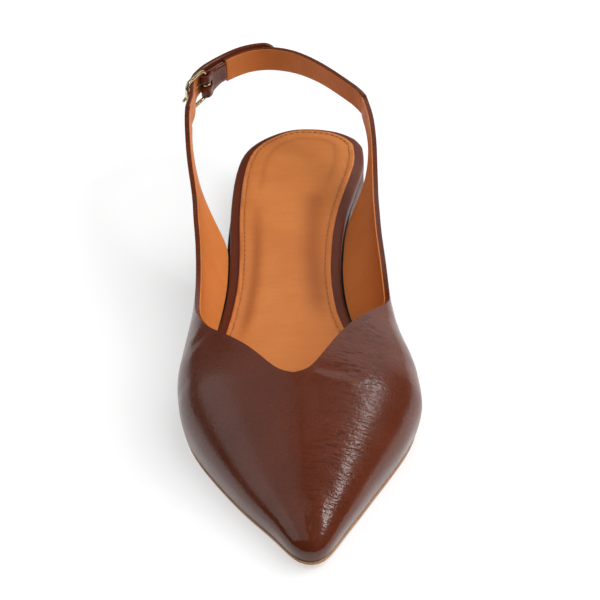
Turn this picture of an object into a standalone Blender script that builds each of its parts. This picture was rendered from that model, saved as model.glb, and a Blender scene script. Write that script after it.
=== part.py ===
# A right slingback shoe with a pointed vamp, a low block heel and a buckled heel strap.
# Points are worked out as x (medial +), s (from the back of the heel to the toe) and z (up).
# In the scene the toe points to -Y, so y is minus s.

import math

import bmesh
import bpy
import numpy as np

# Sole sizes in metres
outsole_length = 0.262
ball_width = 0.084
heel_height = 0.0135
heel_length = 0.071
top_piece_height = 0.0056
outsole_thickness = 0.0016
toe_spring = 0.0015
board_at_heel = 0.0034
board_at_ball = 0.0015
sock_thickness = 0.0010
edge_round = 0.0004
rim_round = 0.0011
board_back_inset = 0.0007
seat_gap = 0.0003
block_inset = 0.0024
inner_toe_gap = 0.0092

# Upper sizes
wall = 0.0022
feather_out = 0.0004
vamp_height = 0.0340
wing_back = 0.0341
vamp_length = 0.0616
ridge_setback = 0.0060
feather_turn = -40.0
ridge_turn = 90.0
rows_up = 12

# Strap sizes
strap_width = 0.0102
strap_thickness = 0.0024
strap_height = 0.0533
billet_thickness = 0.0020
tail_length = 0.061
tail_tip = 0.0050
tail_blunt = 0.2
tail_lift = 0.0009
tail_gap = 0.0004
billet_bend = 0.006
billet_under_bar = 0.0009
tab_thickness = 0.0011
tab_width = 0.0082
tab_split = 0.0002
tab_length = 0.0120
edge_soft = 0.00035

# Buckle sizes
wire = 0.0016
prong_wire = 0.0010
buckle_length = 0.0125
buckle_from_wing = 0.0125
buckle_side_gap = 0.0006
buckle_corner = 0.0028
bar_gap = 0.0003
prong_overhang = 0.0016
prong_wrap = 250.0
slot_height = 0.0022

# Angles in degrees at which an edge is drawn sharp, and is softened on a strap
sharp_angle = 35.0
soft_angle = 50.0

# Stations as shares of the outsole length
wing_end = wing_back / outsole_length
vee_along = 1 - vamp_length / outsole_length
ridge_stop = 1 - ridge_setback / outsole_length
inner_toe_stop = 1 - inner_toe_gap / outsole_length


class Table:
    # A row for each section. The column "along" holds shares of a length.

    def __init__(self, names, rows):
        self.columns = dict(zip(names, zip(*rows)))

    def at(self, name, along):
        return eased(self.columns["along"], self.columns[name], along)

    def root_at(self, name, along):
        squares = [value * value for value in self.columns[name]]
        return math.sqrt(max(eased(self.columns["along"], squares, along), 0.0))


waist_along = 0.42

# Half-widths of the outsole as shares of the ball width
outline = Table(
    ("along", "medial", "lateral"),
    (
        (0.000, 0.000, 0.000),
        (0.015, 0.191, 0.140),
        (0.030, 0.252, 0.199),
        (0.050, 0.303, 0.256),
        (0.080, 0.337, 0.307),
        (0.120, 0.340, 0.339),
        (0.160, 0.322, 0.355),
        (0.220, 0.280, 0.367),
        (0.290, 0.234, 0.372),
        (0.360, 0.203, 0.369),
        (0.420, 0.192, 0.374),
        (0.480, 0.205, 0.399),
        (0.530, 0.246, 0.434),
        (0.580, 0.312, 0.474),
        (0.630, 0.388, 0.511),
        (0.680, 0.446, 0.534),
        (0.730, 0.456, 0.522),
        (0.780, 0.410, 0.470),
        (0.830, 0.332, 0.390),
        (0.880, 0.245, 0.298),
        (0.950, 0.126, 0.146),
        (1.000, 0.000, 0.000),
    ),
)

# Underside of the outsole as a share of the heel height, then the toe's lift as a share of its spring
profile = Table(
    ("along", "arch", "toe"),
    (
        (0.00, 1.00, 0.00),
        (0.27, 1.00, 0.00),
        (0.33, 0.92, 0.00),
        (0.40, 0.70, 0.00),
        (0.48, 0.38, 0.00),
        (0.55, 0.12, 0.00),
        (0.61, 0.00, 0.00),
        (0.82, 0.00, 0.00),
        (0.91, 0.00, 0.35),
        (1.00, 0.00, 1.00),
    ),
)

# How far the outsole and the sock stand in from the outline, as shares of the ball width,
# how much further in the board stands at the back, and the share of its extra height that is left
footbed = Table(
    ("along", "outsole", "sock", "back", "raised"),
    (
        (0.00, 0.032, 0.078, 1.00, 1.00),
        (0.05, 0.027, 0.074, 0.20, 1.00),
        (0.10, 0.026, 0.072, 0.00, 1.00),
        (0.25, 0.024, 0.071, 0.00, 1.00),
        (0.33, 0.010, 0.070, 0.00, 0.92),
        (0.42, 0.000, 0.070, 0.00, 0.45),
        (0.52, 0.000, 0.069, 0.00, 0.00),
        (1.00, 0.000, 0.066, 0.00, 0.00),
    ),
)

# The last's sections. Widths are shares of the ball width, ridge heights of the vamp height.
# base: how far out the wall's foot stands from the outsole's edge, where the wing has left the sole
# out: from the wall's foot to its widest line; wide: height of that line above the floor, as a
# share of a height that falls from the strap's at the wing's end to the vamp's at the waist
sections = Table(
    ("along", "base medial", "base lateral", "out medial", "out lateral",
     "wide medial", "wide lateral", "ridge", "ridge x", "fullness"),
    (
        (0.10, -0.064, 0.198, 0.004, 0.006, 0.970, 0.928, 1.95, -0.06, 2.0),
        (0.13, -0.016, 0.196, 0.006, 0.010, 0.945, 0.912, 1.90, -0.06, 2.0),
        (0.16, 0.012, 0.172, 0.014, 0.024, 0.944, 0.916, 1.85, -0.06, 2.0),
        (0.19, 0.022, 0.140, 0.036, 0.044, 0.945, 0.921, 1.80, -0.06, 2.0),
        (0.245, 0.010, 0.080, 0.090, 0.085, 0.939, 0.924, 1.72, -0.06, 2.0),
        (0.30, 0.000, 0.025, 0.129, 0.118, 0.939, 0.931, 1.64, -0.06, 2.0),
        (0.35, 0.000, 0.000, 0.147, 0.130, 0.950, 0.941, 1.56, -0.06, 2.0),
        (0.42, 0.000, 0.000, 0.162, 0.110, 1.000, 0.950, 1.47, -0.06, 2.0),
        (0.48, 0.000, 0.000, 0.157, 0.080, 0.930, 0.800, 1.38, -0.06, 2.0),
        (0.53, 0.000, 0.000, 0.122, 0.052, 0.840, 0.660, 1.31, -0.06, 2.0),
        (0.58, 0.000, 0.000, 0.068, 0.031, 0.720, 0.540, 1.24, -0.055, 2.0),
        (0.63, 0.000, 0.000, 0.030, 0.020, 0.540, 0.455, 1.18, -0.053, 2.0),
        (0.68, 0.000, 0.000, 0.020, 0.016, 0.420, 0.400, 1.12, -0.052, 2.0),
        (0.76, 0.000, 0.000, 0.022, 0.014, 0.350, 0.350, 1.005, -0.048, 2.0),
        (0.80, 0.000, 0.000, 0.022, 0.012, 0.310, 0.310, 0.890, -0.040, 1.95),
        (0.84, 0.000, 0.000, 0.016, 0.010, 0.280, 0.280, 0.750, -0.030, 1.9),
        (0.88, 0.000, 0.000, 0.011, 0.008, 0.250, 0.250, 0.612, -0.022, 1.9),
        (0.92, 0.000, 0.000, 0.009, 0.007, 0.225, 0.225, 0.490, -0.014, 1.9),
        (0.95, 0.000, 0.000, 0.007, 0.006, 0.205, 0.205, 0.400, -0.008, 1.9),
        (1.00, 0.000, 0.000, 0.005, 0.005, 0.180, 0.180, 0.270, 0.000, 1.9),
    ),
)

# The topline, as degrees round the section from its widest line at 0 to its ridge at 90.
# Here along is a share of the way from the back of the heel to the point of the V
topline = Table(
    ("along", "medial", "lateral"),
    (
        (0.131, 0.0, 0.0),
        (0.522, 0.0, 0.0),
        (0.627, 0.0, 5.0),
        (0.705, 3.0, 13.0),
        (0.751, 11.0, 21.0),
        (0.779, 23.5, 28.0),
        (0.800, 35.0, 33.5),
        (0.822, 44.5, 38.8),
        (0.848, 54.0, 45.8),
        (0.873, 61.7, 54.0),
        (0.896, 66.6, 61.0),
        (0.920, 71.0, 67.2),
        (0.945, 75.1, 72.6),
        (0.966, 78.6, 76.9),
        (0.980, 81.0, 79.9),
        (0.990, 83.5, 83.0),
        (0.996, 86.2, 86.0),
        (1.000, 90.0, 90.0),
    ),
)

# The wings' lower edge, as a share of the way from the sole to the widest line
underline = Table(
    ("along", "medial", "lateral"),
    (
        (0.10, 0.750, 0.700),
        (0.13, 0.728, 0.680),
        (0.16, 0.680, 0.645),
        (0.19, 0.595, 0.600),
        (0.23, 0.445, 0.520),
        (0.27, 0.205, 0.405),
        (0.30, 0.000, 0.270),
        (0.335, 0.000, 0.085),
        (0.35, 0.000, 0.000),
        (1.00, 0.000, 0.000),
    ),
)

# How far the wall's outward direction turns from straight across to the toe outline's own
toe_turn = Table(("along", "turned"), ((0.00, 0.0), (0.58, 0.0), (0.78, 1.0), (1.00, 1.0)))

# The heel strap's middle line from the medial wing to the lateral wing. across is a share of the
# ball width, back of the outsole length, top of the strap height and wide of the strap width
strap_line = (
    {"across": 0.314, "back": wing_end, "top": 0.945, "wide": 0.90},
    {"across": 0.254, "back": 0.095, "top": 0.968, "wide": 0.86},
    {"across": 0.138, "back": 0.043, "top": 0.987, "wide": 0.86},
    {"across": 0.039, "back": 0.007, "top": 0.996, "wide": 0.92},
    {"across": -0.050, "back": -0.015, "top": 1.000, "wide": 0.98},
    {"across": -0.155, "back": -0.026, "top": 1.000, "wide": 1.00},
    {"across": -0.262, "back": -0.020, "top": 0.997, "wide": 1.00},
    {"across": -0.364, "back": 0.002, "top": 0.986, "wide": 1.00},
    {"across": -0.448, "back": 0.031, "top": 0.970, "wide": 1.00},
    {"across": -0.507, "back": 0.070, "top": 0.948, "wide": 1.00},
    {"across": -0.534, "back": wing_end, "top": 0.912, "wide": 1.00},
)


def eased(stations, values, at):
    # A smooth curve through the values that doesn't overshoot them
    count = len(stations)
    slopes = []
    for i in range(count - 1):
        slopes.append((values[i + 1] - values[i]) / (stations[i + 1] - stations[i]))
    tangents = [slopes[0]]
    for before, after in zip(slopes, slopes[1:]):
        same_way = before * after > 0
        tangents.append(2 * before * after / (before + after) if same_way else 0.0)
    tangents.append(slopes[-1])
    at = min(max(at, stations[0]), stations[-1])
    i = 0
    while i < count - 2 and at > stations[i + 1]:
        i += 1
    span = stations[i + 1] - stations[i]
    t = (at - stations[i]) / span
    start = values[i] * (1 + 2 * t) * (1 - t) ** 2 + tangents[i] * span * t * (1 - t) ** 2
    end = values[i + 1] * t * t * (3 - 2 * t) + tangents[i + 1] * span * t * t * (t - 1)
    return start + end


def sign_of(side):
    return 1.0 if side == "medial" else -1.0


def half_width(side, along):
    return outline.root_at(side, along) * ball_width


def under_sole(along):
    return profile.at("arch", along) * heel_height + profile.at("toe", along) * toe_spring


def over_outsole(along):
    return under_sole(along) + outsole_thickness


def under_board(along):
    return over_outsole(along) + seat_gap


def over_board(along):
    extra = (board_at_heel - board_at_ball) * footbed.at("raised", along)
    return under_board(along) + board_at_ball + extra


def under_sock(along):
    return over_board(along) + seat_gap


def over_sock(along):
    return under_sock(along) + sock_thickness


def edge_normal(side, along):
    # Outward in plan, from the slope of the squared half-width, which is finite at toe and heel
    step = 0.002
    low = max(along - step, 0.0)
    high = min(along + step, 1.0)
    rise = half_width(side, high) ** 2 - half_width(side, low) ** 2
    slope = rise / ((high - low) * outsole_length)
    across = sign_of(side) * half_width(side, along)
    length = math.hypot(across, slope / 2)
    return across / length, -slope / 2 / length


def both_ends(count):
    return [(1 - math.cos(math.pi * i / count)) / 2 for i in range(count + 1)]


def back_end(count, last):
    return [last * (1 - math.cos(math.pi / 2 * i / count)) for i in range(count + 1)]


def plan_loop(alongs, inset):
    # A closed outline: the lateral points towards the toe, then the medial points back
    lateral = []
    medial = []
    for along in alongs:
        for side, points in (("lateral", lateral), ("medial", medial)):
            nx, ns = edge_normal(side, along)
            width = sign_of(side) * half_width(side, along)
            d = inset(side, along)
            points.append((width - nx * d, along * outsole_length - ns * d))
    return lateral, medial


def add_loop(bm, alongs, inset, height):
    lateral, medial = plan_loop(alongs, inset)
    left = []
    right = []
    for along, (lx, ls), (mx, ms) in zip(alongs, lateral, medial):
        z = height(along)
        left.append(bm.verts.new((lx, -ls, z)))
        joined = math.hypot(lx - mx, ls - ms) < 1e-5
        right.append(left[-1] if joined else bm.verts.new((mx, -ms, z)))
    return left, right


def add_face(bm, corners):
    kept = []
    for corner in corners:
        if corner not in kept:
            kept.append(corner)
    if len(kept) > 2:
        bm.faces.new(kept)


def around(loop):
    left, right = loop
    ring = left + right[::-1]
    kept = []
    for vert in ring:
        if not kept or (vert is not kept[-1] and vert is not kept[0]):
            kept.append(vert)
    return kept


def slab(name, material, alongs, rings):
    # rings: (inset, height) functions from the bottom edge to the top edge
    bm = bmesh.new()
    loops = [add_loop(bm, alongs, inset, height) for inset, height in rings]
    for lower, upper in zip(loops, loops[1:]):
        low = around(lower)
        high = around(upper)
        for i in range(len(low)):
            j = (i + 1) % len(low)
            add_face(bm, (low[i], low[j], high[j], high[i]))
    for left, right in (loops[0], loops[-1]):
        for i in range(len(left) - 1):
            add_face(bm, (left[i], left[i + 1], right[i + 1], right[i]))
    bmesh.ops.recalc_face_normals(bm, faces=bm.faces)
    return mesh_object(name, bm, material)


def mesh_object(name, bm, material):
    mesh = bpy.data.meshes.new(name)
    bm.to_mesh(mesh)
    bm.free()
    mesh.shade_smooth()
    mesh.set_sharp_from_angle(angle=math.radians(sharp_angle))
    return placed(bpy.data.objects.new(name, mesh), material)


def placed(obj, material):
    bpy.context.scene.collection.objects.link(obj)
    obj.data.materials.append(material)
    return obj


def make_material(name, colour, roughness, metallic=0.0):
    material = bpy.data.materials.new(name)
    material.use_nodes = True
    shader = material.node_tree.nodes["Principled BSDF"]
    shader.inputs["Base Color"].default_value = (*colour, 1.0)
    shader.inputs["Roughness"].default_value = roughness
    shader.inputs["Metallic"].default_value = metallic
    material.diffuse_color = (*colour, 1.0)
    return material


def steady(value):
    return lambda *place: value


def add_heel():
    alongs = back_end(18, heel_length / outsole_length)
    rubber = make_material("top_piece_rubber", (0.055, 0.030, 0.008), 0.6)
    stacked = make_material("heel_leather", (0.022, 0.010, 0.007), 0.45)
    rings = (
        (steady(block_inset + edge_round), steady(0.0)),
        (steady(block_inset), steady(edge_round)),
        (steady(block_inset), steady(top_piece_height)),
    )
    slab("heel_top_piece", rubber, alongs, rings)
    block_foot = top_piece_height + seat_gap
    block_top = heel_height - seat_gap
    rings = (
        (steady(block_inset), steady(block_foot)),
        (steady(block_inset), steady(block_top)),
    )
    slab("heel_block", stacked, alongs, rings)


def outsole_inset(side, along):
    return footbed.at("outsole", along) * ball_width


def add_outsole():
    tan = make_material("outsole_tan", (0.392, 0.150, 0.048), 0.5)
    rings = (
        (lambda side, along: outsole_inset(side, along) + edge_round, under_sole),
        (outsole_inset, lambda along: under_sole(along) + edge_round),
        (outsole_inset, over_outsole),
    )
    slab("outsole", tan, both_ends(40), rings)


def board_inset(side, along):
    # Just inside the upper's wall, and a little more at the back of the heel
    return wall - feather_out + seat_gap + board_back_inset * footbed.at("back", along)


def sock_inset(side, along):
    return footbed.at("sock", along) * ball_width


def inner_stations():
    return [share * inner_toe_stop for share in back_end_even(34)]


def back_end_even(count):
    # Close together at the heel's curve, then even steps
    heel_share = 0.12
    turned = back_end(10, heel_share)
    return turned + [heel_share + (1 - heel_share) * i / count for i in range(1, count + 1)]


def add_footbed():
    alongs = inner_stations()
    dark = make_material("rim_leather", (0.107, 0.048, 0.036), 0.4)
    cognac = make_material("sock_leather", (0.631, 0.223, 0.058), 0.5)
    shoulder = 0.4 * rim_round
    rings = (
        (board_inset, under_board),
        (board_inset, lambda along: over_board(along) - rim_round),
        (lambda side, along: board_inset(side, along) + shoulder / 2,
         lambda along: over_board(along) - shoulder),
        (lambda side, along: board_inset(side, along) + rim_round, over_board),
    )
    slab("footbed_rim", dark, alongs, rings)
    rings = (
        (sock_inset, under_sock),
        (sock_inset, lambda along: over_sock(along) - edge_round),
        (lambda side, along: sock_inset(side, along) + edge_round, over_sock),
    )
    slab("insole", cognac, alongs, rings)


def side_height(along):
    forward = eased((wing_end, waist_along), (0.0, 1.0), along)
    return strap_height + (vamp_height - strap_height) * forward


def section_point(side, along, turn):
    # The wall's foot F, its widest line W and the ridge T give the section's curve
    sign = sign_of(side)
    nx, ns = edge_normal(side, along)
    base = sections.at("base " + side, along) * ball_width
    foot_x = sign * half_width(side, along) + nx * feather_out + sign * base
    foot_s = along * outsole_length + ns * feather_out
    foot_z = over_outsole(along) + seat_gap
    outward = sections.at("out " + side, along) * ball_width
    turned = toe_turn.at("turned", along)
    out_x = (1 - turned) * sign + turned * nx
    out_s = turned * ns
    length = math.hypot(out_x, out_s)
    wide_x = foot_x + outward * out_x / length
    wide_s = foot_s + outward * out_s / length
    wide_z = sections.at("wide " + side, along) * side_height(along)
    if turn <= 0:
        up = 1 - turn / feather_turn
        swell = math.sin(up * math.pi / 2)
        x = foot_x + (wide_x - foot_x) * swell
        s = foot_s + (wide_s - foot_s) * swell
        return x, s, foot_z + (wide_z - foot_z) * up
    beyond = max(along - vee_along, 0.0) / (1 - vee_along)
    ridge_along = min(along, vee_along) + beyond * (ridge_stop - vee_along)
    ridge_x = sections.at("ridge x", ridge_along) * ball_width
    ridge_z = sections.at("ridge", ridge_along) * vamp_height
    power = 2 / sections.at("fullness", along)
    angle = math.radians(turn)
    inward = 1 - max(math.cos(angle), 0.0) ** power
    rise = math.sin(angle) ** power
    x = wide_x + (ridge_x - wide_x) * inward
    s = wide_s + (ridge_along * outsole_length - wide_s) * inward
    return x, s, wide_z + (ridge_z - wide_z) * rise


def upper_column(side, along):
    low = feather_turn * (1 - underline.at(side, along))
    high = ridge_turn if along >= vee_along else topline.at(side, along / vee_along)
    points = []
    for i in range(rows_up + 1):
        turn = low + (high - low) * i / rows_up
        points.append(section_point(side, along, turn))
    return points


def wing_stations():
    corner = 0.56
    rear = [wing_end + (corner - wing_end) * i / 16 for i in range(16)]
    front = [corner + (vee_along - corner) * math.sin(math.pi / 2 * i / 18) for i in range(18)]
    return rear + front


def toe_stations():
    steps = 15
    return [vee_along + (1 - vee_along) * math.sin(math.pi / 2 * i / steps) for i in range(steps + 1)]


def add_upper():
    leather = make_material("upper_leather", (0.100, 0.028, 0.016), 0.35)
    along_side = wing_stations() + toe_stations()
    columns = [("lateral", along) for along in along_side]
    columns += [("medial", along) for along in along_side[-2::-1]]
    bm = bmesh.new()
    grid = []
    for side, along in columns:
        grid.append([bm.verts.new((x, -s, z)) for x, s, z in upper_column(side, along)])
    for here, after in zip(grid, grid[1:]):
        for i in range(rows_up):
            bm.faces.new((here[i], after[i], after[i + 1], here[i + 1]))
    bmesh.ops.remove_doubles(bm, verts=bm.verts, dist=1e-6)
    upper = mesh_object("upper", bm, leather)
    shell = upper.modifiers.new("wall", "SOLIDIFY")
    shell.thickness = wall
    shell.offset = -1.0
    shell.use_even_offset = True


class StrapLine:
    # A smooth line through the strap's points, read by the distance from the lateral wing

    def __init__(self, points_between=12):
        places = [(row["across"] * ball_width, row["back"] * outsole_length,
                   row["top"] * strap_height, row["wide"] * strap_width)
                  for row in reversed(strap_line)]
        points = [np.array(place) for place in places]
        points = [2 * points[0] - points[1]] + points + [2 * points[-1] - points[-2]]
        line = []
        for before, start, end, after in zip(points, points[1:], points[2:], points[3:]):
            for i in range(points_between):
                line.append(between(before, start, end, after, i / points_between))
        line.append(points[-2])
        self.line = np.array(line)
        steps = np.linalg.norm(np.diff(self.line[:, :2], axis=0), axis=1)
        self.distance = np.concatenate([[0.0], np.cumsum(steps)])
        self.length = self.distance[-1]

    def read(self, distance):
        return np.array([np.interp(distance, self.distance, self.line[:, k]) for k in range(4)])

    def outward(self, distance):
        step = 0.001
        ahead = self.read(min(distance + step, self.length)) - self.read(max(distance - step, 0.0))
        length = math.hypot(ahead[0], ahead[1])
        return np.array([ahead[1] / length, -ahead[0] / length])

    def place(self, distance, out, drop):
        # out: away from the foot; drop: down from the strap's top edge
        x, s, z, width = self.read(distance)
        nx, ns = self.outward(distance)
        return x + nx * out, -(s + ns * out), z - drop


def between(before, start, end, after, t):
    bend = 2 * before - 5 * start + 4 * end - after
    twist = 3 * start - before - 3 * end + after
    return 0.5 * (2 * start + (end - before) * t + bend * t * t + twist * t ** 3)


def band(name, line, places, thickness, material):
    # A strip on edge. places: distance, out, lift, and how far each edge stands in from the width
    bm = bmesh.new()
    pairs = []
    for distance, out, lift, trim in places:
        width = line.read(distance)[3]
        low = bm.verts.new(line.place(distance, out, width - trim - lift))
        high = bm.verts.new(line.place(distance, out, trim - lift))
        pairs.append((low, high))
    for (low, high), (next_low, next_high) in zip(pairs, pairs[1:]):
        bm.faces.new((low, next_low, next_high, high))
    strap = mesh_object(name, bm, material)
    solid = strap.modifiers.new("thickness", "SOLIDIFY")
    solid.thickness = thickness
    solid.offset = 0.0
    solid.use_even_offset = True
    soft = strap.modifiers.new("soft_edges", "BEVEL")
    soft.width = edge_soft
    soft.segments = 1
    soft.limit_method = "ANGLE"
    soft.angle_limit = math.radians(soft_angle)
    return strap


def spread(start, end, count):
    return [start + (end - start) * i / count for i in range(count + 1)]


def end_bar_at():
    return buckle_from_wing


def pivot_bar_at():
    return buckle_from_wing + buckle_length


def fold_end_at():
    return pivot_bar_at() + tab_length


def tab_round():
    return wire / 2 + bar_gap + tab_thickness / 2


def billet_out(distance):
    # Inside the end bar, over the folded tab, then along the outside of the heel strap
    over_tab = tab_round() + tab_thickness / 2 + seat_gap + billet_thickness / 2
    over_strap = strap_thickness / 2 + tail_gap + billet_thickness / 2
    stops = (0.0, end_bar_at() - billet_bend, end_bar_at(), pivot_bar_at() - tab_thickness,
             pivot_bar_at() + 2 * tab_thickness, fold_end_at() - 2 * tab_thickness, tail_length)
    values = (0.0, 0.0, billet_under_bar, over_tab, over_tab, over_strap + tail_gap, over_strap)
    return eased(stops, values, distance)


def end_bar_out():
    return billet_under_bar + billet_thickness / 2 + bar_gap + wire / 2


def tail_trim(distance):
    left = (tail_length - distance) / tail_tip
    if left >= 1:
        return 0.0
    return strap_width / 2 * (1 - math.sqrt(max(1 - (1 - left) ** 2, tail_blunt ** 2)))


def add_straps(line):
    leather = make_material("strap_leather", (0.090, 0.030, 0.020), 0.4)
    start = fold_end_at() + seat_gap
    distances = spread(start, line.length - seat_gap, 34)
    places = [(distance, 0.0, 0.0, 0.0) for distance in distances]
    band("sling_strap", line, places, strap_thickness, leather)
    distances = spread(seat_gap, tail_length - tail_tip, 34)
    distances += spread(tail_length - tail_tip, tail_length, 5)[1:]
    places = []
    for distance in distances:
        lift = tail_lift * eased((0.0, pivot_bar_at(), tail_length), (0.0, 0.2, 1.0), distance)
        places.append((distance, billet_out(distance), lift, tail_trim(distance)))
    return band("billet_strap", line, places, billet_thickness, leather)


def add_buckle_loop(line):
    # A strip folded round the pivot bar, its two ends side by side
    leather = make_material("loop_leather", (0.050, 0.018, 0.014), 0.4)
    half = (tab_thickness + tab_split) / 2
    radius = tab_round()
    pivot = pivot_bar_at()
    neck = 2.2 * radius
    opened = pivot + neck
    inner = [(d, -half) for d in spread(fold_end_at(), opened, 4)]
    inner += [(d, -half - (radius - half) * math.sin((opened - d) / neck * math.pi / 2))
              for d in spread(opened, pivot, 5)[1:]]
    turned = []
    for angle in spread(-90, 90, 10)[1:-1]:
        turned.append((pivot - radius * math.cos(math.radians(angle)), radius * math.sin(math.radians(angle))))
    outer = [(d, -out) for d, out in inner[::-1]]
    route = inner + turned + outer
    trim = (strap_width - tab_width) / 2
    places = [(distance, out, 0.0, trim) for distance, out in route]
    tab = band("buckle_loop", line, places, tab_thickness, leather)
    tab.modifiers["soft_edges"].width = edge_soft / 2
    cutter = slot_cutter(line, pivot, radius + tab_thickness / 2 + bar_gap)
    cut = tab.modifiers.new("prong_slot", "BOOLEAN")
    cut.operation = "DIFFERENCE"
    cut.object = cutter


def slot_cutter(line, pivot, reach):
    bm = bmesh.new()
    bmesh.ops.create_cube(bm, size=1.0)
    middle = line.place(pivot, 0.0, strap_width / 2)
    nx, ns = line.outward(pivot)
    turn = math.atan2(-ns, nx)
    bmesh.ops.scale(bm, verts=bm.verts, vec=(2.4 * reach, 2 * reach, slot_height))
    cutter = helper(bm, "prong_slot_cutter")
    cutter.location = middle
    cutter.rotation_euler = (0.0, 0.0, turn)
    return cutter


def helper(bm, name):
    mesh = bpy.data.meshes.new(name)
    bm.to_mesh(mesh)
    bm.free()
    cutter = bpy.data.objects.new(name, mesh)
    bpy.context.scene.collection.objects.link(cutter)
    cutter.hide_render = True
    cutter.display_type = "WIRE"
    return cutter


def tube(name, points, thickness, cyclic, material):
    curve = bpy.data.curves.new(name, "CURVE")
    curve.dimensions = "3D"
    curve.bevel_depth = thickness / 2
    curve.bevel_resolution = 2
    curve.use_fill_caps = not cyclic
    spline = curve.splines.new("POLY")
    spline.points.add(len(points) - 1)
    for point, place in zip(spline.points, points):
        point.co = (*place, 1.0)
    spline.use_cyclic_u = cyclic
    return placed(bpy.data.objects.new(name, curve), material)


def add_buckle_frame(line, gold):
    # A rounded rectangle between the pivot bar and the end bar, leaning out to clear the strap
    half_height = strap_width / 2 + buckle_side_gap + wire / 2
    length = buckle_length
    corners = ((buckle_corner, -1, -1), (length - buckle_corner, 1, -1),
               (length - buckle_corner, 1, 1), (buckle_corner, -1, 1))
    points = []
    for i, (along, ahead, up) in enumerate(corners):
        for angle in spread(0, 90, 5):
            turn = math.radians(angle + 180 + 90 * i)
            reach = along + buckle_corner * math.cos(turn)
            height = up * (half_height - buckle_corner) + buckle_corner * math.sin(turn)
            distance = pivot_bar_at() - reach
            out = end_bar_out() * reach / length
            points.append(line.place(distance, out, strap_width / 2 - height))
    tube("buckle_frame", points, wire, True, gold)


def prong_route(line):
    pivot = pivot_bar_at()
    radius = wire / 2 + bar_gap + prong_wire / 2
    tip_distance = end_bar_at() - prong_overhang
    tip_out = end_bar_out() + wire / 2 + bar_gap + prong_wire / 2
    lean = math.atan2(tip_out, pivot - tip_distance)
    start = math.degrees(lean) + 90
    route = []
    for angle in spread(start + prong_wrap, start, 16):
        turn = math.radians(angle)
        route.append((pivot - radius * math.cos(turn), radius * math.sin(turn)))
    last_distance, last_out = route[-1]
    for share in spread(0.0, 1.0, 5)[1:]:
        route.append((last_distance + (tip_distance - last_distance) * share,
                      last_out + (tip_out - last_out) * share))
    return [line.place(distance, out, strap_width / 2) for distance, out in route]


def add_prong(line, billet, gold):
    route = prong_route(line)
    tube("buckle_prong", route, prong_wire, False, gold)
    clear = make_material("clearance", (0.5, 0.5, 0.5), 0.5)
    shank = route[-6:]
    cutter = tube("prong_hole_cutter", shank, prong_wire + 2 * bar_gap, False, clear)
    bpy.context.view_layer.update()
    graph = bpy.context.evaluated_depsgraph_get()
    mesh = bpy.data.meshes.new_from_object(cutter.evaluated_get(graph))
    bpy.data.objects.remove(cutter)
    bm = bmesh.new()
    bm.from_mesh(mesh)
    bmesh.ops.remove_doubles(bm, verts=bm.verts, dist=1e-6)
    bmesh.ops.recalc_face_normals(bm, faces=bm.faces)
    bpy.data.meshes.remove(mesh)
    hole = helper(bm, "prong_hole_cutter")
    cut = billet.modifiers.new("prong_hole", "BOOLEAN")
    cut.operation = "DIFFERENCE"
    cut.object = hole


def clear_scene():
    for obj in list(bpy.data.objects):
        bpy.data.objects.remove(obj)


def stand_on_floor():
    # An empty carries every piece, so that the box's bottom centre is the origin
    bpy.context.view_layer.update()
    graph = bpy.context.evaluated_depsgraph_get()
    low = np.full(3, np.inf)
    high = np.full(3, -np.inf)
    pieces = list(bpy.context.scene.collection.objects)
    for obj in pieces:
        if obj.hide_render:
            continue
        mesh = obj.evaluated_get(graph).to_mesh()
        places = np.empty(len(mesh.vertices) * 3)
        mesh.vertices.foreach_get("co", places)
        places = places.reshape(-1, 3)
        low = np.minimum(low, places.min(axis=0))
        high = np.maximum(high, places.max(axis=0))
        obj.evaluated_get(graph).to_mesh_clear()
    root = bpy.data.objects.new("shoe", None)
    bpy.context.scene.collection.objects.link(root)
    middle = (low + high) / 2
    root.location = (-middle[0], -middle[1], -low[2])
    for obj in pieces:
        obj.parent = root
    bpy.context.view_layer.update()


def main():
    clear_scene()
    add_heel()
    add_outsole()
    add_footbed()
    add_upper()
    line = StrapLine()
    gold = make_material("pale_gold", (0.75, 0.66, 0.42), 0.22, 1.0)
    billet = add_straps(line)
    add_buckle_loop(line)
    add_buckle_frame(line, gold)
    add_prong(line, billet, gold)
    stand_on_floor()


main()
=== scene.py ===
import math

import bmesh
import bpy
from mathutils import Matrix, Quaternion, Vector
from mathutils.kdtree import KDTree


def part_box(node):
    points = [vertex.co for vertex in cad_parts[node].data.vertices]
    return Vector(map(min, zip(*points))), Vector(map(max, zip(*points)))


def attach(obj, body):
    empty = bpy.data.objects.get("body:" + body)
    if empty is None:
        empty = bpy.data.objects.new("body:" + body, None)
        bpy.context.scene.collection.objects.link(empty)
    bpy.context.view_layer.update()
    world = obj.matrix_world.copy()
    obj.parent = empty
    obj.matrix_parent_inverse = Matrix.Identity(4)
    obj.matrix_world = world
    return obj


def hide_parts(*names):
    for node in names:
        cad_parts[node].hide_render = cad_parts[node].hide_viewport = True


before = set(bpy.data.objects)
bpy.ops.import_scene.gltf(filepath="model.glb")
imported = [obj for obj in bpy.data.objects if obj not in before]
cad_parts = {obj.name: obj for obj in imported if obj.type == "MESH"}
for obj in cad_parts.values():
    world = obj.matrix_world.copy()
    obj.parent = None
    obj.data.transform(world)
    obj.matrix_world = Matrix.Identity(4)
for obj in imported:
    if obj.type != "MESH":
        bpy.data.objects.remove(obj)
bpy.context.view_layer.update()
mm = 0.001
weld = 0.00001
heelMiddle = Vector((-0.003, 0.095, 0.045))  # a place inside the loop of the heel strap
print("frame loaded")


# Mesh helpers

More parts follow.
